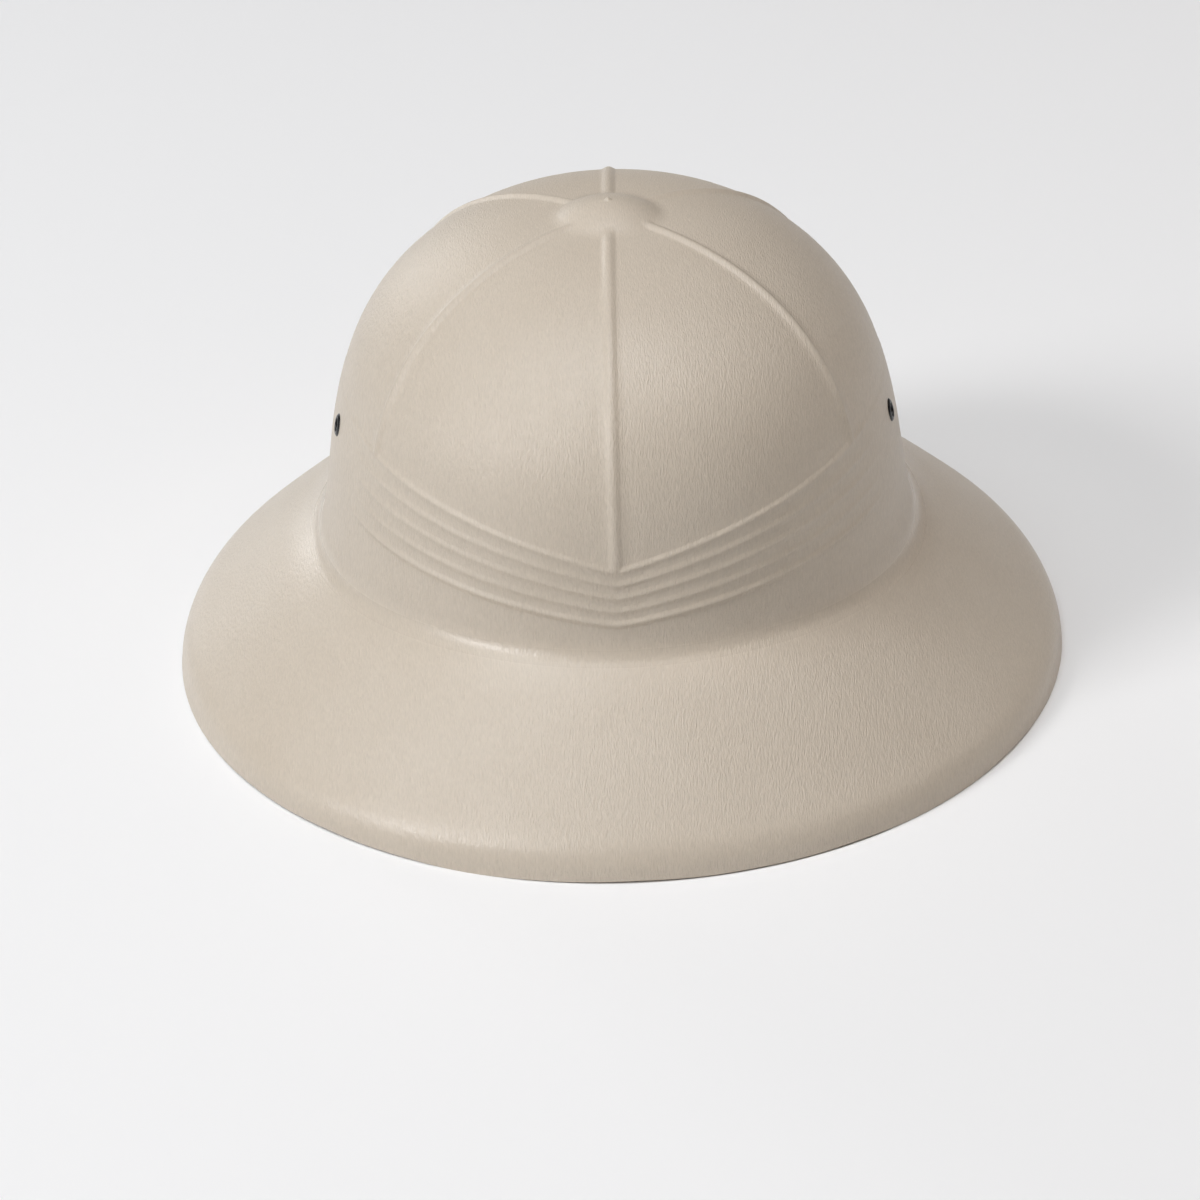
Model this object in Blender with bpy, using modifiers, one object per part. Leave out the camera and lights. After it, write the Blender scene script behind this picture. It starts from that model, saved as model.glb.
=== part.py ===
"""A sun helmet moulded in one piece, with a metal eyelet in each side.

Metres, +Z up, the front towards -Y. The origin is under the middle of the brim, on the plane
that the rim rests on. The shell is one moulding: dome, top button, six ribs, a band of five
pleats, brim and turned-down lip. Each eyelet is a separate turned piece that holds a vent open.
"""

import math

import bmesh
import bpy
from mathutils import Vector

# The sheet
WALL = 0.0016
RUNNING_GAP = 0.0003

# Brim, from the rim's plane upwards
LIP_HEIGHT = 0.0070
LIP_FLARE = 0.0009
BRIM_REACH_SIDE = 0.0492
BRIM_REACH_FRONT = 0.0492
BRIM_REACH_BACK = 0.0621
BRIM_CROWNING = 0.0012
CREASE_HEIGHT_FRONT = 0.0517
CREASE_HEIGHT_SIDE = 0.0448

# How far the rounded crease reaches up and out, how far the rounded edge reaches in along the
# brim and down the lip, and the largest share of the plain wall or of the lip that they take
CREASE_ROUNDING = 0.0045
EDGE_ROUNDING = 0.0050
LIP_ROUNDING = 0.0046
ROUNDING_LIMIT = 0.65

# Crown
CROWN_WIDTH = 0.180
CROWN_LENGTH = 0.216
CROWN_FLARE_FRONT = 0.0025
CROWN_FLARE_SIDE = 0.0066
DOME_BASE_RISE = 0.0178
DOME_HEIGHT = 0.0793

# Pleated band, from the crease upwards
PLEAT_COUNT = 5
PLEAT_RISE_FRONT = 0.0078
PLEAT_RISE_SIDE = 0.0267
PLEAT_PITCH_FRONT = 0.00415
PLEAT_PITCH_SIDE = 0.0063
PLEAT_WIDTH = 0.0034
PLEAT_HEIGHT = 0.0005
LOWEST_PLEAT_HEIGHT = 0.0007
BAND_STEP = 0.0002

# Ribs and button
RIB_WIDTH = 0.0048
RIB_HEIGHT = 0.0009
BUTTON_DIAMETER = 0.034
BUTTON_HEIGHT = 0.0046
NIB_DIAMETER = 0.0026
NIB_HEIGHT = 0.0010

# Vents and eyelets
VENT_RISE = 0.0425
EYELET_BORE = 0.0040
EYELET_METAL = 0.0005
FLANGE_REACH = 0.0014
CLINCH_REACH = 0.0010

# Shape of the curves, without a unit
DOME_FULLNESS = 2.37
FLARE_POWER = 1.6
VEE_POWER = 0.8
VEE_SOFTNESS = 0.035
CREASE_POWER = 3
BUTTON_FULLNESS = 1.8

# Directions round the crown in degrees, 0 at the front and 180 at the back
RIB_TURNS = (0.0, 57.0, 127.5, 180.0, 232.5, 303.0)
PLEAT_FULL_TO = 48.0
PLEAT_GONE_AT = 70.0
VENT_TURNS = {"right": 79.0, "left": 281.0}

# Height across a rib, from one side to the other, as shares of its height
RIB_SECTION = {-1.0: 0.0, -0.5: 0.8, 0.0: 1.0, 0.5: 0.8, 1.0: 0.0}

# Columns of faces: the widest angle between two, and the widest that a rib or a vent's seat takes
PANEL_STEP = 10.0
WIDEST_CLUSTER = 9.0

# Rows of faces: how many the dome and the brim have, and where those of the button and of a
# rounded corner lie, as shares of the way across
DOME_ROWS = 8
BRIM_ROWS = 5
BUTTON_ROWS = (0.38, 0.68, 0.9)
ROUNDED_ROWS = (0.33, 0.67)

# The row where the dome and its ribs end: the upper side of the first pleat
TOP_OF_BAND = (0, -1)

# Colours in linear light, roughness and metallic value of each finish
FINISHES = {
    "moulded_plastic": ((0.61, 0.54, 0.46), 0.55, 0.0),
    "black_enamel": ((0.012, 0.012, 0.012), 0.35, 0.0),
}

# Flat seat round a vent, as a share of the eyelet's flange
VENT_SEAT = 1.4

EYELET_SIDES = 16
CUTTER_LENGTH = 0.02

# Angle in radians that is small enough to measure a direction along a ring
SMALL_TURN = 0.01


def half_ring(turn, side, front, back):
    """Point of a ring in plan: half its width, and its reach to the front and the back."""
    reach = front if math.cos(turn) > 0.0 else back
    return Vector((side * math.sin(turn), -reach * math.cos(turn), 0.0))


def round_the_crown(turn, front, side):
    """A size that changes smoothly from the front and back to the sides."""
    return front + (side - front) * math.sin(turn) ** 2


def along_the_vee(turn, front, side):
    """A height that dips in a soft V at the front and the back."""
    rise = (math.sin(turn) ** 2 + VEE_SOFTNESS**2) ** (VEE_POWER / 2.0)
    return front + (side - front) * rise


def crease_height(turn):
    """The crease stays level at the front and the back, and falls towards the sides."""
    fall = abs(math.sin(turn)) ** CREASE_POWER
    return CREASE_HEIGHT_FRONT + (CREASE_HEIGHT_SIDE - CREASE_HEIGHT_FRONT) * fall


def pleat_height(turn, number):
    """Height of a pleat's crest, with number 0 at the top of the band."""
    steps = PLEAT_COUNT - 1 - number
    front = CREASE_HEIGHT_FRONT + PLEAT_RISE_FRONT + steps * PLEAT_PITCH_FRONT
    side = CREASE_HEIGHT_SIDE + PLEAT_RISE_SIDE + steps * PLEAT_PITCH_SIDE
    return along_the_vee(turn, front, side)


def dome_base():
    return CREASE_HEIGHT_FRONT + DOME_BASE_RISE


def dome_share(height):
    """Share of the crown's full width that the dome has at a height."""
    rise = max(0.0, (height - dome_base()) / DOME_HEIGHT)
    return (1.0 - min(1.0, rise) ** DOME_FULLNESS) ** (1.0 / DOME_FULLNESS)


def dome_level(share):
    """Height of the dome at a share of its full width."""
    rise = (1.0 - min(1.0, share) ** DOME_FULLNESS) ** (1.0 / DOME_FULLNESS)
    return dome_base() + DOME_HEIGHT * rise


def crown_ray(turn):
    """The crown's outline in plan, at its full width."""
    return half_ring(turn, CROWN_WIDTH / 2.0, CROWN_LENGTH / 2.0, CROWN_LENGTH / 2.0)


def button_point(turn, share):
    """Low round button on top of the dome; share 1 is its edge."""
    ray = crown_ray(turn)
    radius = share * BUTTON_DIAMETER / 2.0
    point = ray.normalized() * radius
    height = dome_level(radius / ray.length)
    point.z = height + BUTTON_HEIGHT * (1.0 - share**BUTTON_FULLNESS)
    return point


def dome_point(turn, share):
    """Dome from the button's edge, share 0, to the top of the band, share 1."""
    ray = crown_ray(turn)
    inner = math.asin(BUTTON_DIAMETER / 2.0 / ray.length)
    outer = math.asin(dome_share(pleat_height(turn, 0) + PLEAT_WIDTH / 2.0))
    width_share = math.sin(inner + (outer - inner) * share)
    point = ray * width_share
    point.z = dome_level(width_share)
    return point


def wall_point(turn, height):
    """Crown wall below the top of the band, which flares out to the crease."""
    top = pleat_height(turn, 0) + PLEAT_WIDTH / 2.0
    drop = max(0.0, (top - height) / (top - crease_height(turn)))
    ray = crown_ray(turn)
    flare = round_the_crown(turn, CROWN_FLARE_FRONT, CROWN_FLARE_SIDE) * drop**FLARE_POWER
    point = ray * dome_share(height) + ray.normalized() * flare
    point.z = height
    return point


def pleat_point(turn, place):
    """One of the rows that make a pleat: its number, and -1, 0 or 1 down across it."""
    number, side = place
    return wall_point(turn, pleat_height(turn, number) - side * PLEAT_WIDTH / 2.0)


def crease_corner(turn):
    return wall_point(turn, crease_height(turn))


def edge_ring(turn, inset, height):
    """Ring of the brim's edge, set in from its lowest and widest line."""
    half_width = CROWN_WIDTH / 2.0 + CROWN_FLARE_SIDE - inset
    half_length = CROWN_LENGTH / 2.0 + CROWN_FLARE_FRONT - inset
    point = half_ring(
        turn,
        half_width + BRIM_REACH_SIDE,
        half_length + BRIM_REACH_FRONT,
        half_length + BRIM_REACH_BACK,
    )
    point.z = height
    return point


def edge_corner(turn):
    return edge_ring(turn, LIP_FLARE, LIP_HEIGHT)


def rounded(before, corner, after, share):
    """Point on the smooth curve that replaces a corner."""
    return (
        before * (1.0 - share) ** 2 + corner * 2.0 * share * (1.0 - share) + after * share**2
    )


def lower_wall_point(turn, share):
    """Plain wall from the lowest pleat down to where the crease starts to round."""
    low = pleat_height(turn, PLEAT_COUNT - 1) - PLEAT_WIDTH / 2.0
    room = low - crease_height(turn)
    drop = room - min(CREASE_ROUNDING, ROUNDING_LIMIT * room)
    return wall_point(turn, low - drop * share)


def brim_line(turn, share):
    """Top of the brim between its two corners, crowned a little."""
    inner = crease_corner(turn)
    outer = edge_corner(turn)
    point = inner.lerp(outer, share)
    point.z += BRIM_CROWNING * 4.0 * share * (1.0 - share)
    return point


def brim_share(turn, distance):
    return distance / (edge_corner(turn) - crease_corner(turn)).length


def crease_point(turn, share):
    """Rounded crease between the crown and the brim."""
    before = lower_wall_point(turn, 1.0)
    after = brim_line(turn, brim_share(turn, CREASE_ROUNDING))
    return rounded(before, crease_corner(turn), after, share)


def brim_point(turn, share):
    first = brim_share(turn, CREASE_ROUNDING)
    last = 1.0 - brim_share(turn, EDGE_ROUNDING)
    return brim_line(turn, first + (last - first) * share)


def edge_point(turn, share):
    """Rounded edge where the brim turns down into the lip."""
    before = brim_point(turn, 1.0)
    corner = edge_corner(turn)
    down = edge_ring(turn, 0.0, 0.0) - corner
    after = corner + down.normalized() * min(LIP_ROUNDING, ROUNDING_LIMIT * LIP_HEIGHT)
    return rounded(before, corner, after, share)


def lip_point(turn, share):
    return edge_point(turn, 1.0).lerp(edge_ring(turn, 0.0, 0.0), share)


def brim_centring():
    """Shift that puts the middle of the brim, and not of the crown, over the origin."""
    return Vector((0.0, (BRIM_REACH_FRONT - BRIM_REACH_BACK) / 2.0, 0.0))


def sheet_rows():
    """Each row of the sheet from the crown's top to the rim: the zone's function and its place."""
    nib_share = NIB_DIAMETER / BUTTON_DIAMETER
    rows = [(button_point, share) for share in (0.0, nib_share, *BUTTON_ROWS)]
    rows += [(dome_point, step / DOME_ROWS) for step in range(DOME_ROWS)]
    rows += [(pleat_point, (number, side)) for number in range(PLEAT_COUNT) for side in (-1, 0, 1)]
    rows += [(lower_wall_point, 1.0)]
    rows += [(crease_point, share) for share in ROUNDED_ROWS]
    rows += [(brim_point, step / BRIM_ROWS) for step in range(BRIM_ROWS + 1)]
    rows += [(edge_point, share) for share in ROUNDED_ROWS]
    rows += [(lip_point, share) for share in (0.0, 1.0)]
    return rows


def half_angle(zone, place, turn, width):
    """Half the angle that a width takes up on a ring at a turn."""
    ahead = zone(turn + SMALL_TURN, place) - zone(turn, place)
    widest = math.radians(WIDEST_CLUSTER)
    if ahead.length == 0.0:
        return widest
    return min(width / 2.0 * SMALL_TURN / ahead.length, widest)


def barrel_radius():
    return EYELET_BORE / 2.0 + EYELET_METAL


def vent_seat_width():
    return VENT_SEAT * 2.0 * (barrel_radius() + FLANGE_REACH)


def column_clusters():
    """Each place that needs columns of its own: its turn, its width, the shares across it and
    whether they belong to a rib."""
    rib = (RIB_WIDTH, tuple(RIB_SECTION), True)
    vent = (vent_seat_width(), (-1.0, 1.0), False)
    places = [(turn, *rib) for turn in RIB_TURNS] + [(turn, *vent) for turn in VENT_TURNS.values()]
    return [(math.radians(turn), *cluster) for turn, *cluster in sorted(places)]


def column_turns(row):
    """Angle of each column in a row, and its place across a rib or None where there is no rib.

    A rib keeps its width all the way down, so its columns close up in angle as the row widens.
    """
    zone, place = row
    clusters = column_clusters()
    halves = [half_angle(zone, place, turn, width) for turn, width, *_ in clusters]
    columns = []
    for index, (turn, _, shares, is_rib) in enumerate(clusters):
        columns += [(turn + share * halves[index], share if is_rib else None) for share in shares]
        following = (index + 1) % len(clusters)
        next_turn = clusters[following][0] + (math.tau if following == 0 else 0.0)
        steps = math.ceil((next_turn - turn) / math.radians(PANEL_STEP))
        start = turn + halves[index]
        end = next_turn - halves[following]
        columns += [(start + (end - start) * step / steps, None) for step in range(1, steps)]
    first_turn, first_share = columns[0]
    columns.append((first_turn + math.tau, first_share))
    return columns


def smooth_step(value):
    value = min(1.0, max(0.0, value))
    return value * value * (3.0 - 2.0 * value)


def pleat_strength(turn):
    """1 at the front and the back, fading to 0 before the sides."""
    gone = math.cos(math.radians(PLEAT_GONE_AT))
    full = math.cos(math.radians(PLEAT_FULL_TO))
    return smooth_step((abs(math.cos(turn)) - gone) / (full - gone))


def relief(row, turn, across):
    """How far the outside stands proud of the plain sheet."""
    zone, place = row
    if zone is button_point:
        return NIB_HEIGHT if place == 0.0 else 0.0
    if zone is dome_point or place == TOP_OF_BAND:
        return RIB_HEIGHT * RIB_SECTION[across] if across is not None else 0.0
    if zone is pleat_point:
        number, side = place
        height = LOWEST_PLEAT_HEIGHT if number == PLEAT_COUNT - 1 else PLEAT_HEIGHT
        return BAND_STEP + (height * pleat_strength(turn) if side == 0 else 0.0)
    return BAND_STEP if zone is lower_wall_point else 0.0


def new_object(name, mesh, finish, collection):
    colour, roughness, metallic = FINISHES[finish]
    material = bpy.data.materials.get(finish) or bpy.data.materials.new(finish)
    material.use_nodes = True
    shader = material.node_tree.nodes["Principled BSDF"]
    shader.inputs["Base Color"].default_value = (*colour, 1.0)
    shader.inputs["Roughness"].default_value = roughness
    shader.inputs["Metallic"].default_value = metallic
    mesh.materials.append(material)
    thing = bpy.data.objects.new(name, mesh)
    collection.objects.link(thing)
    return thing


def pressed_sheet():
    """Plain sheet as an open surface, with the height of its relief at each vertex."""
    rows = sheet_rows()
    turns = [column_turns(row) for row in rows]
    column_count = len(turns[0]) - 1
    row_count = len(rows) - 1
    sheet = bmesh.new()
    bmesh.ops.create_grid(sheet, x_segments=column_count, y_segments=row_count, size=0.5)
    raised = sheet.verts.layers.float.new("raised")
    for vertex in sheet.verts:
        column = round((vertex.co.x + 0.5) * column_count)
        row = round((0.5 - vertex.co.y) * row_count)
        turn, across = turns[row][column]
        zone, place = rows[row]
        vertex.co = zone(turn, place) + brim_centring()
        vertex[raised] = relief(rows[row], turn, across)
    bmesh.ops.remove_doubles(sheet, verts=sheet.verts, dist=1e-6)
    mesh = bpy.data.meshes.new("shell")
    sheet.to_mesh(mesh)
    sheet.free()
    return mesh


def evaluated_mesh(thing):
    bpy.context.view_layer.update()
    graph = bpy.context.evaluated_depsgraph_get()
    return bpy.data.meshes.new_from_object(thing.evaluated_get(graph))


def make_shell(collection):
    """The moulding: a plain sheet, given its wall, its raised relief and a flat rim."""
    shell = new_object("shell", pressed_sheet(), "moulded_plastic", collection)
    raised = [item.value for item in shell.data.attributes["raised"].data]
    wall = shell.modifiers.new("wall", "SOLIDIFY")
    wall.thickness = WALL
    wall.offset = -1.0
    wall.use_even_offset = True
    normals = [vertex.normal.copy() for vertex in shell.data.vertices]
    solid = evaluated_mesh(shell)
    shell.modifiers.remove(wall)
    shell.data = solid
    for vertex, normal, height in zip(solid.vertices, normals, raised):
        vertex.co += normal * height
    for vertex in solid.vertices:
        if vertex.co.z < WALL:
            vertex.co.z = 0.0
    solid.shade_smooth()
    return shell


def vent_frame(turn):
    """Centre of a vent's flat seat on the outside of the wall, and the direction out of it."""
    height = CREASE_HEIGHT_SIDE + VENT_RISE
    half = half_angle(wall_point, height, turn, vent_seat_width())
    before = wall_point(turn - half, height)
    after = wall_point(turn + half, height)
    down = wall_point(turn, height - WALL) - wall_point(turn, height + WALL)
    outward = down.cross(after - before).normalized()
    return (before + after) / 2.0 + brim_centring() + outward * BAND_STEP, outward


def place_on_vent(thing, turn):
    centre, outward = vent_frame(turn)
    thing.location = centre
    thing.rotation_mode = "QUATERNION"
    thing.rotation_quaternion = outward.to_track_quat("Z", "Y")


def make_eyelet(name, turn, collection):
    """Turned eyelet: a rolled flange outside, a barrel through the wall and a clinch inside."""
    bore = EYELET_BORE / 2.0
    barrel = barrel_radius()
    flange = barrel + FLANGE_REACH
    clinch = barrel + CLINCH_REACH
    seat = RUNNING_GAP
    under = -WALL - BAND_STEP - RUNNING_GAP
    crown = seat + EYELET_METAL + EYELET_METAL / 2.0
    profile = (
        (bore, seat + EYELET_METAL / 2.0),
        (barrel, crown),
        ((barrel + flange) / 2.0, crown),
        (flange, seat + EYELET_METAL / 2.0),
        (flange, seat),
        (barrel, seat),
        (barrel, under),
        (clinch, under),
        (clinch, under - EYELET_METAL / 2.0),
        ((barrel + clinch) / 2.0, under - EYELET_METAL),
        (bore, under - EYELET_METAL / 2.0),
    )
    mesh = bpy.data.meshes.new(name)
    count = len(profile)
    mesh.from_pydata(
        [(radius, 0.0, height) for radius, height in profile],
        [(index, (index + 1) % count) for index in range(count)],
        [],
    )
    eyelet = new_object(name, mesh, "black_enamel", collection)
    turned = eyelet.modifiers.new("turned", "SCREW")
    turned.steps = turned.render_steps = EYELET_SIDES
    turned.use_merge_vertices = True
    turned.merge_threshold = 1e-6
    place_on_vent(eyelet, turn)
    return eyelet


def punch_vent(shell, side, turn, cutters):
    """Round hole through the wall, a running gap wider than the eyelet's barrel."""
    bm = bmesh.new()
    radius = barrel_radius() + RUNNING_GAP
    bmesh.ops.create_cone(
        bm, cap_ends=True, segments=EYELET_SIDES, radius1=radius, radius2=radius, depth=CUTTER_LENGTH
    )
    mesh = bpy.data.meshes.new("vent_cutter_" + side)
    bm.to_mesh(mesh)
    bm.free()
    cutter = bpy.data.objects.new("vent_cutter_" + side, mesh)
    cutters.objects.link(cutter)
    cutter.hide_render = True
    cutter.display_type = "WIRE"
    place_on_vent(cutter, turn)
    cut = shell.modifiers.new("vent_" + side, "BOOLEAN")
    cut.operation = "DIFFERENCE"
    cut.solver = "EXACT"
    cut.object = cutter


def new_collection(name):
    collection = bpy.data.collections.new(name)
    bpy.context.scene.collection.children.link(collection)
    return collection


def build_helmet():
    for thing in list(bpy.data.objects):
        bpy.data.objects.remove(thing)
    helmet = new_collection("pith_helmet")
    cutters = new_collection("cutters")
    shell = make_shell(helmet)
    for side, degrees in VENT_TURNS.items():
        turn = math.radians(degrees)
        punch_vent(shell, side, turn, cutters)
        make_eyelet("eyelet_" + side, turn, helmet)


build_helmet()
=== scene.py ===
# %% [markdown]
# # A moulded sun helmet
# The real helmet is one thin moulding of beige polyethylene: dome, button, ribs, pleats, brim and
# lip in one sheet, with a black metal eyelet in each side. Its solids are packed already and are
# loaded here as a fixed frame. They are faceted, so this script presses a finer sheet to the same
# sizes, turns finer eyelets, gives both their finish, and sets up a plain studio.

import math

import bpy
from mathutils import Euler, Matrix, Vector


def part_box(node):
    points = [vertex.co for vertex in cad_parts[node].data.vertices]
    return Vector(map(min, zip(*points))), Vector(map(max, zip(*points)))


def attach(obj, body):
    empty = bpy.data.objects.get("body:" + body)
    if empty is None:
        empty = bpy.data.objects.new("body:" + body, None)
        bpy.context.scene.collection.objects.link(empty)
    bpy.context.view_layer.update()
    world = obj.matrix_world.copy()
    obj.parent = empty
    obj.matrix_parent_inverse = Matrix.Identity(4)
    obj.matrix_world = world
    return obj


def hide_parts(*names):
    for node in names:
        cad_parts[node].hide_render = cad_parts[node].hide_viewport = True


MM = 0.001

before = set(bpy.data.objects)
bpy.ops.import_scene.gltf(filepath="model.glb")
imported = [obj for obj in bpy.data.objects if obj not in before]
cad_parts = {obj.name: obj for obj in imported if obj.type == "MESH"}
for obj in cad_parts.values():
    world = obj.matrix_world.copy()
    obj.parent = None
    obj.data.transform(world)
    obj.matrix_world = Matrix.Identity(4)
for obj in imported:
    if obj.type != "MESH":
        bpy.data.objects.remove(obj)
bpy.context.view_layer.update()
shell_low, shell_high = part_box("shell")
print("shell, in mm:", [round(side / MM, 1) for side in shell_high - shell_low])

# %% [markdown]
# ## Camera
# A photographer stood well back and looked down at the helmet, so its far brim looks hardly smaller
# than its near brim. A long lens from more than a metre away gives the same look. The camera could
# be placed by hand, but worked out from a target, three angles and a distance it is easier to
# correct.

# %% Place the camera
CAMERA_TARGET = Vector((-6.7, -6.7, 10.9)) * MM
CAMERA_DISTANCE = 1300 * MM
LOOKS_DOWN = math.radians(28.0)
STANDS_TO_THE_RIGHT = math.radians(0.9)
LEANS_TO_THE_RIGHT = math.radians(1.95)
LENS = 117.5

camera_turn = Euler((math.pi / 2 - LOOKS_DOWN, 0.0, STANDS_TO_THE_RIGHT)).to_matrix()
camera_turn = camera_turn @ Matrix.Rotation(-LEANS_TO_THE_RIGHT, 3, "Z")
bpy.ops.object.camera_add(
    location=CAMERA_TARGET + camera_turn @ Vector((0.0, 0.0, CAMERA_DISTANCE)),
    rotation=camera_turn.to_euler(),
)
camera = bpy.context.object
camera.data.lens = LENS
bpy.context.scene.camera = camera
print("camera at", [round(place, 3) for place in camera.location])

# %% [markdown]
# ## The former
# The moulding takes its shape from a former, so the former is described first. Seen from above, the
# crown is an oval. Every point of the helmet lies on a ring round it, at a turn: 0 is the front, a
# quarter turn is the wearer's left side, half a turn is the back. Down the helmet, the former has
# zones, and each zone is a short function from a turn and a place in the zone to a point. A cage of
# a few faces under a Subdivision Surface would be quicker to draw, but its ribs and pleats would
# wander with every change of the cage.

# %% Ovals of the former
CROWN_HALF_WIDTH = 90.0 * MM
CROWN_HALF_LENGTH = 108.0 * MM
CROWN_MIDDLE = -6.45 * MM
CREASE_HEIGHT = {"front": 51.7 * MM, "side": 44.8 * MM}
CREASE_POWER = 3

brim_half_width = shell_high.x
brim_front = -shell_low.y + CROWN_MIDDLE
brim_back = shell_high.y - CROWN_MIDDLE
print("brim from the crown's middle, in mm:", round(brim_front / MM, 1), round(brim_back / MM, 1))


def ring(turn, side, front, back):
    """Point of an oval ring in plan, whose front and back halves may reach differently far."""
    reach = front if math.cos(turn) > 0.0 else back
    return Vector((side * math.sin(turn), CROWN_MIDDLE - reach * math.cos(turn), 0.0))


def at_height(point, height):
    return Vector((point.x, point.y, height))


def round_the_crown(turn, size, power=2):
    """A size that changes smoothly from the front and the back to the sides."""
    return size["front"] + (size["side"] - size["front"]) * abs(math.sin(turn)) ** power


def crease_height(turn):
    return round_the_crown(turn, CREASE_HEIGHT, CREASE_POWER)


# %% [markdown]
# ## Pleats on the former
# A cloth helmet has a scarf wound round it in folds. The moulding copies that scarf as five raised
# pleats, which run down to a soft V at the front and at the back and fade out before the sides. The
# pleats set where the dome ends, so their heights belong to the former.

# %% Heights of the pleats
PLEAT_COUNT = 5
LOWEST_PLEAT = {"front": 59.5 * MM, "side": 71.5 * MM}
PLEAT_PITCH = {"front": 4.15 * MM, "side": 6.3 * MM}
PLEAT_WIDTH = 3.4 * MM
VEE_POWER = 0.8
VEE_SOFTNESS = 0.035


def pleat_height(turn, number):
    """Height of a pleat's crest, number 0 being the top one."""
    above = PLEAT_COUNT - 1 - number
    front, side = (LOWEST_PLEAT[end] + above * PLEAT_PITCH[end] for end in ("front", "side"))
    rise = (math.sin(turn) ** 2 + VEE_SOFTNESS**2) ** (VEE_POWER / 2)
    return front + (side - front) * rise


def top_of_band(turn):
    return pleat_height(turn, 0) + PLEAT_WIDTH / 2


for end, turn in (("front", 0.0), ("side", math.pi / 2)):
    print("top of the band at the", end, "in mm:", round(top_of_band(turn) / MM, 1))

# %% [markdown]
# ## Top of the crown
# The dome is fuller than a half circle: its section is a superellipse, and the button is a low
# rounded rise on its top. A drawn section could be spun instead, but the crown is an oval, so its
# section differs from one turn to the next.

# %% Zones of the button and the dome
DOME_BASE = 69.5 * MM
DOME_HEIGHT = 79.3 * MM
DOME_FULLNESS = 2.37
BUTTON_RADIUS = 17.0 * MM
BUTTON_HEIGHT = 4.6 * MM
BUTTON_FULLNESS = 1.8


def crown_outline(turn):
    return ring(turn, CROWN_HALF_WIDTH, CROWN_HALF_LENGTH, CROWN_HALF_LENGTH)


def crown_middle():
    return Vector((0.0, CROWN_MIDDLE, 0.0))


def dome_share(height):
    """How wide the dome is at a height, as a share of its full width."""
    rise = max(0.0, (height - DOME_BASE) / DOME_HEIGHT)
    return (1.0 - min(1.0, rise) ** DOME_FULLNESS) ** (1 / DOME_FULLNESS)


def dome_level(share):
    """Height of the dome at a share of its full width."""
    rise = (1.0 - min(1.0, share) ** DOME_FULLNESS) ** (1 / DOME_FULLNESS)
    return DOME_BASE + DOME_HEIGHT * rise


def button(turn, share):
    ray = crown_outline(turn) - crown_middle()
    radius = share * BUTTON_RADIUS
    height = dome_level(radius / ray.length) + BUTTON_HEIGHT * (1.0 - share**BUTTON_FULLNESS)
    return at_height(crown_middle() + ray.normalized() * radius, height)


def dome(turn, share):
    ray = crown_outline(turn) - crown_middle()
    inner = math.asin(BUTTON_RADIUS / ray.length)
    outer = math.asin(dome_share(top_of_band(turn)))
    width = math.sin(inner + (outer - inner) * share)
    return at_height(crown_middle() + ray * width, dome_level(width))


print("button's top, in mm:", round(button(0.0, 0.0).z / MM, 1))

# %% [markdown]
# ## Wall of the crown
# Below the dome the wall goes down through the pleats, and leans out a little more the nearer it
# comes to the brim. Pleats, the gaps between them and the plain wall are zones of their own, so
# that rows of faces follow each pleat's crest instead of cutting across it.

# %% Zones of the wall
CROWN_FLARE = {"front": 2.5 * MM, "side": 6.6 * MM}
FLARE_POWER = 1.6
CREASE_ROUNDING = 4.5 * MM
CREASE_SHARE = 0.65


def wall(turn, height):
    top = top_of_band(turn)
    drop = max(0.0, (top - height) / (top - crease_height(turn)))
    ray = crown_outline(turn) - crown_middle()
    flare = round_the_crown(turn, CROWN_FLARE) * drop**FLARE_POWER
    reach = ray.length * dome_share(height) + flare
    return at_height(crown_middle() + ray.normalized() * reach, height)


def pleat(turn, place):
    """Place is the pleat's number and how far across it, from -1 above the crest to 1 below."""
    number, across = place
    return wall(turn, pleat_height(turn, number) - across * PLEAT_WIDTH / 2)


def between_pleats(turn, place):
    number, share = place
    above = pleat_height(turn, number) - PLEAT_WIDTH / 2
    below = pleat_height(turn, number + 1) + PLEAT_WIDTH / 2
    return wall(turn, above + (below - above) * share)


def plain_wall(turn, share):
    """From the lowest pleat to the crease, which takes up only part of a low wall."""
    low = pleat_height(turn, PLEAT_COUNT - 1) - PLEAT_WIDTH / 2
    room = low - crease_height(turn)
    return wall(turn, low - (room - min(CREASE_ROUNDING, CREASE_SHARE * room)) * share)


print("wall leans out to, in mm:", round(wall(math.pi / 2, crease_height(math.pi / 2)).x / MM, 1))

# %% [markdown]
# ## Brim and lip
# The brim slopes down from the crease and is slightly crowned. Its lip turns down to the rim and
# stiffens it. The corners at the crease and at the lip are rounded by a curve in the former itself,
# so that the rounding keeps its rows of faces. A Bevel modifier would round them too, but after the
# sheet is made.

# %% Zones of the brim and the lip
BRIM_CROWNING = 1.2 * MM
EDGE_ROUNDING = 5.0 * MM
LIP_HEIGHT = 7.0 * MM
LIP_FLARE = 0.9 * MM
LIP_ROUNDING = 4.6 * MM


def brim_line(turn, share):
    inner = wall(turn, crease_height(turn))
    outer = lip_line(turn, 0.0)
    point = inner.lerp(outer, share)
    return at_height(point, point.z + BRIM_CROWNING * 4 * share * (1 - share))


def brim_length(turn):
    return (lip_line(turn, 0.0) - wall(turn, crease_height(turn))).length


def lip_line(turn, share):
    """The lip from the brim's edge, share 0, down to the rim."""
    inset = LIP_FLARE * (1.0 - share)
    point = ring(turn, brim_half_width - inset, brim_front - inset, brim_back - inset)
    return at_height(point, LIP_HEIGHT * (1.0 - share))


def rounded(before, corner, after, share):
    """Smooth curve in place of a corner."""
    return before * (1 - share) ** 2 + corner * 2 * share * (1 - share) + after * share**2


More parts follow.
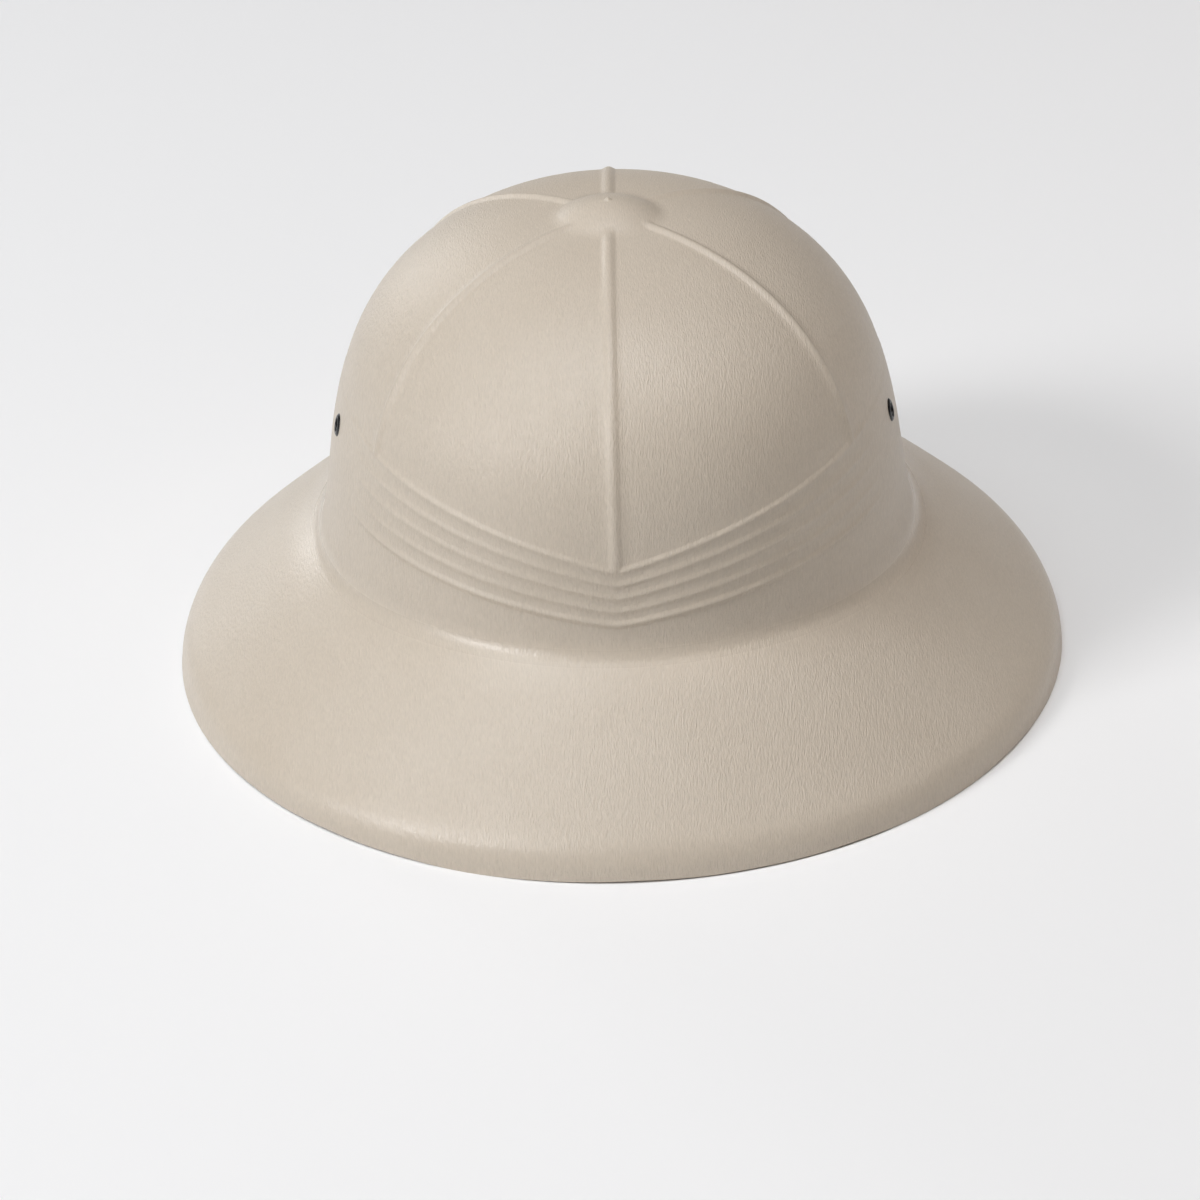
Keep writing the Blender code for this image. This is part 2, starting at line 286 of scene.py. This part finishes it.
def crease(turn, share):
    after = brim_line(turn, CREASE_ROUNDING / brim_length(turn))
    return rounded(plain_wall(turn, 1.0), wall(turn, crease_height(turn)), after, share)


def brim(turn, share):
    first = CREASE_ROUNDING / brim_length(turn)
    last = 1.0 - EDGE_ROUNDING / brim_length(turn)
    return brim_line(turn, first + (last - first) * share)


def edge(turn, share):
    after = lip_line(turn, LIP_ROUNDING / LIP_HEIGHT)
    return rounded(brim(turn, 1.0), lip_line(turn, 0.0), after, share)


def lip(turn, share):
    first = LIP_ROUNDING / LIP_HEIGHT
    return lip_line(turn, first + (1.0 - first) * share)


print("length of the slope at the front, in mm:", round(brim_length(0.0) / MM, 1))

# %% [markdown]
# ## Ribs, pleats and nib
# What stands proud of the plain moulding is low and rounded. It could be extruded face by face, but
# the plastic flows over it in one soft swell. So it is painted as a weight on the plain sheet, and
# one Displace modifier raises the sheet by that weight. Rows and columns of faces lie closest where
# the weight changes.

# %% Weights of the relief
RIB_TURNS = (0.0, 57.0, 127.5, 180.0, 232.5, 303.0)
RIB_WIDTH = 4.8 * MM
RIB_HEIGHT = 0.9 * MM
RIB_SHARPNESS = 1.3
PLEAT_HEIGHT = 0.5 * MM
LOWEST_PLEAT_HEIGHT = 0.7 * MM
PLEATS_FULL_TO = math.radians(48.0)
PLEATS_GONE_AT = math.radians(70.0)
BAND_STEP = 0.2 * MM
NIB_RADIUS = 1.3 * MM
NIB_HEIGHT = 1.0 * MM


def smooth_step(value):
    value = min(1.0, max(0.0, value))
    return value * value * (3.0 - 2.0 * value)


def swell(across, sharpness=2.0):
    """Rounded section of a rib or a pleat, from 0 at its foot to 1 on its crest."""
    return math.cos(math.pi / 2 * across) ** sharpness if abs(across) < 1.0 else 0.0


def pleat_strength(turn):
    gone, full = math.cos(PLEATS_GONE_AT), math.cos(PLEATS_FULL_TO)
    return smooth_step((abs(math.cos(turn)) - gone) / (full - gone))


def raised(zone, place, turn, across_rib):
    """How far the outside stands proud of the plain sheet."""
    if zone is button:
        return NIB_HEIGHT * swell(min(1.0, place * BUTTON_RADIUS / NIB_RADIUS))
    rib_height = RIB_HEIGHT * swell(across_rib, RIB_SHARPNESS)
    if zone is dome:
        return rib_height
    if zone is pleat:
        number, across = place
        band = BAND_STEP * (smooth_step(across + 1.0) if number == 0 else 1.0)
        height = LOWEST_PLEAT_HEIGHT if number == PLEAT_COUNT - 1 else PLEAT_HEIGHT
        crest = height * pleat_strength(turn) * swell(across)
        return max(band + crest, rib_height if number == 0 and across < 0.0 else 0.0)
    if zone in (between_pleats, plain_wall):
        return BAND_STEP
    if zone is crease:
        return BAND_STEP * (1.0 - smooth_step(place))
    return 0.0


print("top pleat stands proud by, in mm:", round(raised(pleat, (0, 0.0), 0.0, 1.0) / MM, 2))

# %% [markdown]
# ## Where the plastic is polished
# Moulding stretched the sheet hardest in the crease and over the brim's edge. That pulled the grain
# flat there, so both are shinier than the rest. Over the button and the top of the dome the sheet
# was drawn thin early, and its grain is only shallow. Shine and grain are kept as two numbers on
# each vertex, because they follow the zones and not a pattern.

# %% Polish and grain of each zone
CREASE_GLOW = 0.3
EDGE_POLISH = 0.7
EDGE_POLISH_FROM = 0.92
CREASE_GRAIN = 0.5
BUTTON_GRAIN = 0.4
FULL_GRAIN_AT = 0.55


def polished(zone, place):
    """How far the grain was pulled flat, from 0 to 1."""
    if zone is crease:
        return smooth_step(2.0 * place)
    if zone is brim:
        by_crease = smooth_step(1.0 - place / CREASE_GLOW)
        by_edge = smooth_step((place - EDGE_POLISH_FROM) / (1.0 - EDGE_POLISH_FROM))
        return max(by_crease, EDGE_POLISH * by_edge)
    if zone is edge:
        return EDGE_POLISH * smooth_step(2.0 * (1.0 - place))
    return 0.0


def grain_left(zone, place):
    """How deep the grain still is, from 0 to 1."""
    if zone is button:
        return BUTTON_GRAIN
    if zone is dome:
        return BUTTON_GRAIN + (1.0 - BUTTON_GRAIN) * smooth_step(place / FULL_GRAIN_AT)
    return 1.0 - (1.0 - CREASE_GRAIN) * polished(zone, place)


print("grain left in the crease and on the brim:", grain_left(crease, 1.0), grain_left(brim, 0.5))

# %% [markdown]
# ## The sheet
# The moulding starts as what it is in the factory, a flat sheet. A grid has a row of faces for each
# step down the helmet and a column for each step round it. A sphere pulled into shape would need
# its poles and its even rings undone first.

# %% Rows of the sheet
ROWS_IN = {
    button: 18,
    dome: 40,
    pleat: 8,
    between_pleats: 2,
    plain_wall: 5,
    crease: 12,
    brim: 20,
    edge: 9,
    lip: 4,
}


def steps(zone, place_at=lambda share: share, ends=False):
    """Rows of a zone. The last zone also has a row at its end."""
    count = ROWS_IN[zone]
    return [(zone, place_at(step / count)) for step in range(count + ends)]


def over_pleat(number):
    return lambda share: (number, 2 * share - 1)


def below_pleat(number):
    return lambda share: (number, share)


rows = steps(button, lambda share: share**2) + steps(dome)
for number in range(PLEAT_COUNT):
    rows += steps(pleat, over_pleat(number))
    if number < PLEAT_COUNT - 1:
        rows += steps(between_pleats, below_pleat(number))
rows += steps(plain_wall) + steps(crease) + steps(brim) + steps(edge) + steps(lip, ends=True)
row_count = len(rows) - 1
print("rows of faces:", row_count)

# %% [markdown]
# ## Columns
# A rib keeps its width from the button to the band, so it takes up a wider angle near the button
# than lower down. Every rib has its own columns, which follow it, and the panels between the ribs
# share out what is left.

# %% Columns of the sheet
RIB_COLUMNS = 5
RIB_SHARES = [step / RIB_COLUMNS for step in range(-RIB_COLUMNS, RIB_COLUMNS + 1)]
PANEL_STEP = math.radians(1.9)
WIDEST_RIB = math.radians(14.0)
SMALL_TURN = 0.01


def half_rib(zone, place, turn):
    """Half the angle that a rib takes up on a row."""
    ahead = (zone(turn + SMALL_TURN, place) - zone(turn, place)).length
    return min(RIB_WIDTH / 2 * SMALL_TURN / ahead, WIDEST_RIB) if ahead > 0.0 else WIDEST_RIB


def columns(zone, place):
    """Turn of each column on a row, and how far across a rib it lies."""
    ribs = [math.radians(turn) for turn in RIB_TURNS]
    found = []
    for turn, following in zip(ribs, ribs[1:] + [math.tau]):
        half = half_rib(zone, place, turn)
        found += [(turn + share * half, share) for share in RIB_SHARES]
        start, end = turn + half, following - half_rib(zone, place, following)
        panels = math.ceil((following - turn) / PANEL_STEP)
        found += [(start + (end - start) * step / panels, 1.0) for step in range(1, panels)]
    return found + [(found[0][0] + math.tau, found[0][1])]


turns_of_row = [columns(*row) for row in rows]
column_count = len(turns_of_row[0]) - 1
print("columns of faces:", column_count)

# %% [markdown]
# ## Pressing
# Every vertex of the flat grid is moved to its place on the former. The button's first row becomes
# one point, and the first and the last column meet at the front, so both are merged afterwards. A
# Shrinkwrap modifier could lay the grid on the solid shell instead, but would keep its facets.

# %% Press the sheet over the former
RELIEF_TOP = NIB_HEIGHT
WELD = 0.001 * MM

bpy.ops.object.select_all(action="DESELECT")
bpy.ops.mesh.primitive_grid_add(x_subdivisions=column_count, y_subdivisions=row_count, size=1.0)
shell = bpy.context.object
shell.name = "helmet_shell"
relief = shell.vertex_groups.new(name="relief")
shine_of_vertex = []
grain_of_vertex = []

for vertex in shell.data.vertices:
    column = round((vertex.co.x + 0.5) * column_count)
    row = round((0.5 - vertex.co.y) * row_count)
    zone, place = rows[row]
    turn, across_rib = turns_of_row[row][column]
    vertex.co = zone(turn, place)
    relief.add([vertex.index], raised(zone, place, turn, across_rib) / RELIEF_TOP, "REPLACE")
    shine_of_vertex.append(polished(zone, place))
    grain_of_vertex.append(grain_left(zone, place))

for name, values in (("polish", shine_of_vertex), ("grain", grain_of_vertex)):
    attribute = shell.data.attributes.new(name, "FLOAT", "POINT")
    attribute.data.foreach_set("value", values)

bpy.ops.object.mode_set(mode="EDIT")
bpy.ops.mesh.select_all(action="SELECT")
bpy.ops.mesh.remove_doubles(threshold=WELD)
bpy.ops.object.mode_set(mode="OBJECT")
print("pressed sheet:", len(shell.data.vertices), "vertices")

# %% [markdown]
# ## Wall and relief
# The plastic is 1.6 mm thick. Solidify gives the sheet that wall on the inside, so the outside keeps
# its size. The weight is then taken off the inside, because the moulding is smooth there, and
# Displace raises the outside. Displacing first would print the ribs through to the inside.

# %% Give the sheet its wall and raise the relief
WALL = 1.6 * MM


def apply_modifier(piece, kind, **settings):
    modifier = piece.modifiers.new(kind.lower(), kind)
    for name, value in settings.items():
        setattr(modifier, name, value)
    bpy.ops.object.modifier_apply(modifier=modifier.name)


outside_count = len(shell.data.vertices)
apply_modifier(shell, "SOLIDIFY", thickness=WALL, offset=-1.0, use_even_offset=True)
relief = shell.vertex_groups["relief"]
relief.remove(range(outside_count, len(shell.data.vertices)))
apply_modifier(shell, "DISPLACE", strength=RELIEF_TOP, mid_level=0.0, vertex_group="relief")
shell.vertex_groups.clear()
print("sheet with its wall:", len(shell.data.vertices), "vertices")

# %% [markdown]
# ## Rim
# The rim was trimmed with a knife after moulding. It is flat, and at the front a little wavy. A
# Boolean would cut it flat too, but the lowest rows lie there already and only need to be levelled.

# %% Cut the rim
RIM_BAND = 0.4 * MM
# Waves of the knife: how many round the rim, size, and where each starts in radians
TRIM_WAVES = ((7, 0.22 * MM, 0.4), (13, 0.16 * MM, 1.9), (29, 0.08 * MM, 0.7))
# Cosines of the turns from the front where the waves start to fade and where they are gone
TRIM_FULL = 0.8
TRIM_GONE = 0.3


def trim(point):
    """How far the knife left the rim short of the floor."""
    turn = math.atan2(point.x, -point.y)
    wave = sum(size * (1 + math.sin(count * turn + start)) for count, size, start in TRIM_WAVES)
    return wave * smooth_step((math.cos(turn) - TRIM_GONE) / (TRIM_FULL - TRIM_GONE))


for vertex in shell.data.vertices:
    height = 0.0 if vertex.co.z < RIM_BAND else vertex.co.z
    vertex.co.z = height + trim(vertex.co) * max(0.0, 1.0 - height / LIP_HEIGHT)
print("waves up to, in mm:", round(max(trim(vertex.co) for vertex in shell.data.vertices) / MM, 2))

# %% [markdown]
# ## Vents
# A hole through each side of the crown lets air in. It is a Boolean cut with a round punch, as the
# real holes are punched through the finished moulding. Leaving faces out of the grid would make the
# same hole, but with a ragged edge.

# %% Punch the holes
VENT_RISE = 42.5 * MM
# Turns of the vents, named by their side as seen from the front
VENTS = {"right": math.radians(79.0), "left": math.radians(281.0)}
EYELET_BORE = 4.0 * MM
EYELET_METAL = 0.5 * MM
GAP = 0.3 * MM
PUNCH_SIDES = 48
PUNCH_LENGTH = 12 * MM


def vent_place(turn):
    """Centre of a vent on the outside of the wall, and the direction straight out of it."""
    height = CREASE_HEIGHT["side"] + VENT_RISE
    along = wall(turn + SMALL_TURN, height) - wall(turn - SMALL_TURN, height)
    down = wall(turn, height - MM) - wall(turn, height + MM)
    out = down.cross(along).normalized()
    return wall(turn, height) + out * BAND_STEP, out


for side, turn in VENTS.items():
    centre, out = vent_place(turn)
    print(side, "vent at", [round(value / MM, 1) for value in centre])
    bpy.ops.object.select_all(action="DESELECT")
    bpy.ops.mesh.primitive_cylinder_add(
        vertices=PUNCH_SIDES,
        radius=EYELET_BORE / 2 + EYELET_METAL + GAP,
        depth=PUNCH_LENGTH,
        location=centre,
        rotation=out.to_track_quat("Z", "Y").to_euler(),
    )
    punch = bpy.context.object
    bpy.context.view_layer.objects.active = shell
    apply_modifier(shell, "BOOLEAN", operation="DIFFERENCE", solver="EXACT", object=punch)
    bpy.data.objects.remove(punch)
print("shell:", len(shell.data.vertices), "vertices,", len(shell.data.polygons), "faces")

# %% [markdown]
# ## Eyelets
# An eyelet is a short metal tube, rolled over outside the wall and clinched inside it. Its section
# is drawn once beside the vent's axis, spun round it, and softened with a Subdivision Surface, as
# rolled metal has no sharp edge. A torus would look alike from outside, but have no barrel.

# %% Turn the eyelets
FLANGE_REACH = 1.4 * MM
CLINCH_REACH = 1.0 * MM
EYELET_SIDES = 32


def eyelet_section():
    """Section of an eyelet as distances from its axis and heights above the wall."""
    bore = EYELET_BORE / 2
    barrel = bore + EYELET_METAL
    flange, clinch = barrel + FLANGE_REACH, barrel + CLINCH_REACH
    top = GAP + 1.5 * EYELET_METAL
    under = -WALL - BAND_STEP - GAP
    return (
        (bore, GAP + EYELET_METAL / 2),
        (barrel, top),
        ((barrel + flange) / 2, top),
        (flange, GAP + EYELET_METAL / 2),
        (flange, GAP),
        (barrel, GAP),
        (barrel, under),
        (clinch, under),
        (clinch, under - EYELET_METAL / 2),
        ((barrel + clinch) / 2, under - EYELET_METAL),
        (bore, under - EYELET_METAL / 2),
    )


def turn_eyelet(name, turn):
    centre, out = vent_place(turn)
    section = eyelet_section()
    bpy.ops.object.select_all(action="DESELECT")
    bpy.ops.mesh.primitive_circle_add(vertices=len(section), radius=EYELET_BORE, location=centre)
    eyelet = bpy.context.object
    eyelet.name = name
    sideways = Vector((0.0, 1.0, 0.0))
    for vertex, (distance, height) in zip(eyelet.data.vertices, section):
        vertex.co = sideways * distance + out * height
    bpy.ops.object.mode_set(mode="EDIT")
    bpy.ops.mesh.select_all(action="SELECT")
    bpy.ops.mesh.spin(steps=EYELET_SIDES, angle=math.tau, center=centre, axis=out)
    bpy.ops.mesh.select_all(action="SELECT")
    bpy.ops.mesh.remove_doubles(threshold=10 * WELD)
    bpy.ops.mesh.normals_make_consistent(inside=False)
    bpy.ops.object.mode_set(mode="OBJECT")
    bpy.ops.object.transform_apply()
    apply_modifier(eyelet, "SUBSURF", levels=2, render_levels=2)
    bpy.ops.object.shade_smooth()
    return eyelet


eyelets = {side: turn_eyelet("vent_eyelet_" + side, turn) for side, turn in VENTS.items()}
print("eyelet:", len(eyelets["left"].data.polygons), "faces")

# %% [markdown]
# ## Grain of the polyethylene
# The moulding is high-density polyethylene. Its sheet is embossed with a fine crepe grain: short
# ridges, under a millimetre wide and about two millimetres long, that all ran from front to back
# while the sheet was flat. On the former they still run that way over the brim, and up and down the
# front of the crown. The ridges are far too many to model, so they are a stretched noise and a Bump
# node.

# %% Colour and node helpers
def colour(code):
    """Linear colour for a shader from an sRGB hex code."""
    channels = [int(code[start : start + 2], 16) / 255 for start in (1, 3, 5)]
    linear = [(c / 12.92) if c <= 0.04045 else ((c + 0.055) / 1.055) ** 2.4 for c in channels]
    return (*linear, 1.0)


def add_node(material, kind, inputs=None, **settings):
    """Node of one kind, with its settings, and each input a value or another node's output."""
    tree = material.node_tree
    node = tree.nodes.new(kind)
    for name, value in settings.items():
        setattr(node, name, value)
    for name, value in (inputs or {}).items():
        if isinstance(value, bpy.types.NodeSocket):
            tree.links.new(value, node.inputs[name])
        else:
            node.inputs[name].default_value = value
    return node


def new_material(name):
    material = bpy.data.materials.new(name)
    material.use_nodes = True
    return material, material.node_tree.nodes["Principled BSDF"]


print("middle grey as a linear colour:", [round(channel, 3) for channel in colour("#808080")])

# %% Grain
GRAIN_WIDTH = 0.43 * MM
GRAIN_LENGTH = 2.0 * MM
GRAIN_DEPTH = 0.29 * MM

plastic, plastic_surface = new_material("moulded_polyethylene")
where = add_node(plastic, "ShaderNodeTexCoord").outputs["Object"]
stretched = add_node(
    plastic,
    "ShaderNodeMapping",
    {"Vector": where, "Scale": (1 / GRAIN_WIDTH, 1 / GRAIN_LENGTH, 1 / GRAIN_LENGTH)},
).outputs["Vector"]
grain = add_node(
    plastic,
    "ShaderNodeTexNoise",
    {"Vector": stretched, "Scale": 1.0, "Detail": 2.0, "Roughness": 0.55, "Distortion": 0.4},
).outputs["Fac"]
depth_left = add_node(plastic, "ShaderNodeAttribute", attribute_name="grain").outputs["Fac"]
bump = add_node(
    plastic, "ShaderNodeBump", {"Height": grain, "Distance": GRAIN_DEPTH, "Strength": depth_left}
).outputs["Normal"]
plastic.node_tree.links.new(bump, plastic_surface.inputs["Normal"])
print("ridges to a centimetre across the grain:", round(10 * MM / GRAIN_WIDTH))

# %% [markdown]
# ## Colour, painted shade and wear of the polyethylene
# The plastic is coloured in the mass, so its beige hardly varies: a wide soft mottle between two
# tones. The grooves of the grain are painted a darker tone: painted shade, so that the ridges show
# where the light falls evenly. Three faint scuffs lie on the brim. They are gradients laid where the
# real ones are. Painting them on an image would do as well, but would need a texture file.

# %% Colour, painted groove shade and scuffs
BEIGES = ("#cfc2b1", "#d5c9b9")
MOTTLE = 30 * MM
# Painted shade: how dark the grooves between the grain's ridges are painted
PAINTED_GROOVE_SHADE = 0.9
# Marks on the brim: place in plan in mm, lean in degrees, half length in mm, tone
SCUFFS = (
    ((-119.4, -34.6), 20.0, 2.6, 0.93),
    ((-109.6, -54.6), 15.0, 2.2, 0.96),
    ((-124.8, -45.4), 25.0, 2.6, 0.95),
)
SCUFF_SLIMNESS = 3

mottle = add_node(
    plastic, "ShaderNodeTexNoise", {"Vector": where, "Scale": 1 / MOTTLE, "Detail": 3.0}
).outputs["Fac"]
tint = add_node(
    plastic,
    "ShaderNodeMix",
    {"Factor": mottle, "A": colour(BEIGES[0]), "B": colour(BEIGES[1])},
    data_type="RGBA",
).outputs["Result"]
# Painted shade in the grooves of the grain; the real scuffs are multiplied onto it below
groove_shade_and_scuffs = add_node(
    plastic,
    "ShaderNodeMapRange",
    {"Value": grain, "From Min": 0.3, "From Max": 0.7, "To Min": PAINTED_GROOVE_SHADE, "To Max": 1.0},
).outputs["Result"]
for (x, y), lean, half_length, tone in SCUFFS:
    near = add_node(
        plastic,
        "ShaderNodeMapping",
        {
            "Vector": where,
            "Location": (x * MM, y * MM, 0.0),
            "Rotation": (0.0, 0.0, math.radians(lean)),
            "Scale": (half_length * MM, half_length / SCUFF_SLIMNESS * MM, 1.0),
        },
        vector_type="TEXTURE",
    ).outputs["Vector"]
    mark = add_node(
        plastic, "ShaderNodeTexGradient", {"Vector": near}, gradient_type="SPHERICAL"
    ).outputs["Fac"]
    shade = add_node(
        plastic,
        "ShaderNodeMapRange",
        {"Value": mark, "From Max": 0.6, "To Min": 1.0, "To Max": tone},
    ).outputs["Result"]
    groove_shade_and_scuffs = add_node(
        plastic, "ShaderNodeMath", {0: groove_shade_and_scuffs, 1: shade}, operation="MULTIPLY"
    ).outputs["Value"]
shaded = add_node(
    plastic, "ShaderNodeVectorMath", {0: tint, "Scale": groove_shade_and_scuffs}, operation="SCALE"
).outputs["Vector"]
plastic.node_tree.links.new(shaded, plastic_surface.inputs["Base Color"])
print("scuffs:", len(SCUFFS))

# %% [markdown]
# ## Shine of the polyethylene
# The plastic is satin rather than glossy, and smoother where the moulding polished it. The number
# that was kept on each vertex blends between the two. Two materials would leave a line where they
# meet.

# %% Shine
SATIN_ROUGHNESS = 0.4
POLISHED_ROUGHNESS = 0.27
POLYETHYLENE_IOR = 1.54

shine = add_node(plastic, "ShaderNodeAttribute", attribute_name="polish").outputs["Fac"]
roughness = add_node(
    plastic,
    "ShaderNodeMapRange",
    {"Value": shine, "To Min": SATIN_ROUGHNESS, "To Max": POLISHED_ROUGHNESS},
).outputs["Result"]
plastic.node_tree.links.new(roughness, plastic_surface.inputs["Roughness"])
plastic_surface.inputs["IOR"].default_value = POLYETHYLENE_IOR
print("polyethylene:", len(plastic.node_tree.nodes), "nodes")

# %% [markdown]
# ## Black enamel
# The eyelets are metal under a coat of black enamel. Only the coat shows, so a dark colour with a
# soft shine is enough. Bare metal would be made with the Metallic value instead.

# %% Enamel
enamel, enamel_surface = new_material("black_enamel")
enamel_surface.inputs["Base Color"].default_value = colour("#101012")
enamel_surface.inputs["Roughness"].default_value = 0.3
print("materials:", [plastic.name, enamel.name])

# %% [markdown]
# ## Put the finishes on
# Each piece rides on the helmet's one body and stands for the solid that it was made to the size of.
# The shell is shaded smooth up to an angle, so that the rim and the holes keep their edges.

# %% Finish the pieces
SMOOTH_TO = math.radians(40)


def finish(piece, material, node):
    piece.data.materials.clear()
    piece.data.materials.append(material)
    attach(piece, "root")
    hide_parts(node)
    print(piece.name, "stands for", node)


bpy.ops.object.select_all(action="DESELECT")
shell.select_set(True)
bpy.context.view_layer.objects.active = shell
bpy.ops.object.shade_smooth_by_angle(angle=SMOOTH_TO)
finish(shell, plastic, "shell")
for side, eyelet in eyelets.items():
    finish(eyelet, enamel, "eyelet_" + side)

# %% [markdown]
# ## Table
# The helmet stands on a plain white table, wide enough to fill the photograph's view. A curved sheet
# of paper would hide the table's far edge in lower views, but would throw light back on the helmet.

# %% Table
TABLE_SIZE = 8.0

bpy.ops.object.select_all(action="DESELECT")
bpy.ops.mesh.primitive_plane_add(size=TABLE_SIZE)
table = bpy.context.object
table.name = "table"
paint, paint_surface = new_material("white_table")
paint_surface.inputs["Base Color"].default_value = colour("#f4f4f4")
paint_surface.inputs["Roughness"].default_value = 0.8
table.data.materials.append(paint)
print("table, in metres:", TABLE_SIZE)

# %% [markdown]
# ## Studio lights
# A small soft light to the left of the camera draws the highlights on the ribs, the pleats and the
# crease. Large ones above and on both sides fill the shadows, those on the left a little cooler than
# those on the right, and a low one behind lights the far edge. One large light would be simpler, but
# it would leave the right side too dark.

# %% Lights and room
LIGHT_DISTANCE = 4.4
ROOM_LIGHT = 0.03


def add_light(name, azimuth, height, size, power, tint):
    """Square soft light aimed at the helmet: azimuth 0 is over the camera, 90 on the right."""
    azimuth, height = math.radians(azimuth), math.radians(height)
    away = Vector(
        (
            math.sin(azimuth) * math.cos(height),
            -math.cos(azimuth) * math.cos(height),
            math.sin(height),
        )
    )
    bpy.ops.object.light_add(
        type="AREA",
        location=away * LIGHT_DISTANCE,
        rotation=away.to_track_quat("Z", "Y").to_euler(),
    )
    light = bpy.context.object
    light.name = name
    light.data.size = size
    light.data.energy = power
    light.data.color = colour(tint)[:3]
    print(name, "light:", power, "watts")


add_light("key", azimuth=-60, height=34, size=1.2, power=81, tint="#fffeff")
add_light("left", azimuth=-60, height=65, size=2.4, power=52, tint="#f4fcff")
add_light("top", azimuth=0, height=90, size=2.4, power=65, tint="#f2f6ff")
add_light("right", azimuth=60, height=65, size=2.4, power=35, tint="#ffeedc")
add_light("far_right", azimuth=120, height=40, size=2.4, power=8, tint="#ffead4")
add_light("behind", azimuth=-150, height=15, size=1.2, power=20, tint="#ffffff")

world = bpy.data.worlds.new("room")
bpy.context.scene.world = world
world.use_nodes = True
background = world.node_tree.nodes["Background"]
background.inputs["Color"].default_value = colour("#ffffff")
background.inputs["Strength"].default_value = ROOM_LIGHT
bpy.context.scene.view_settings.view_transform = "Standard"
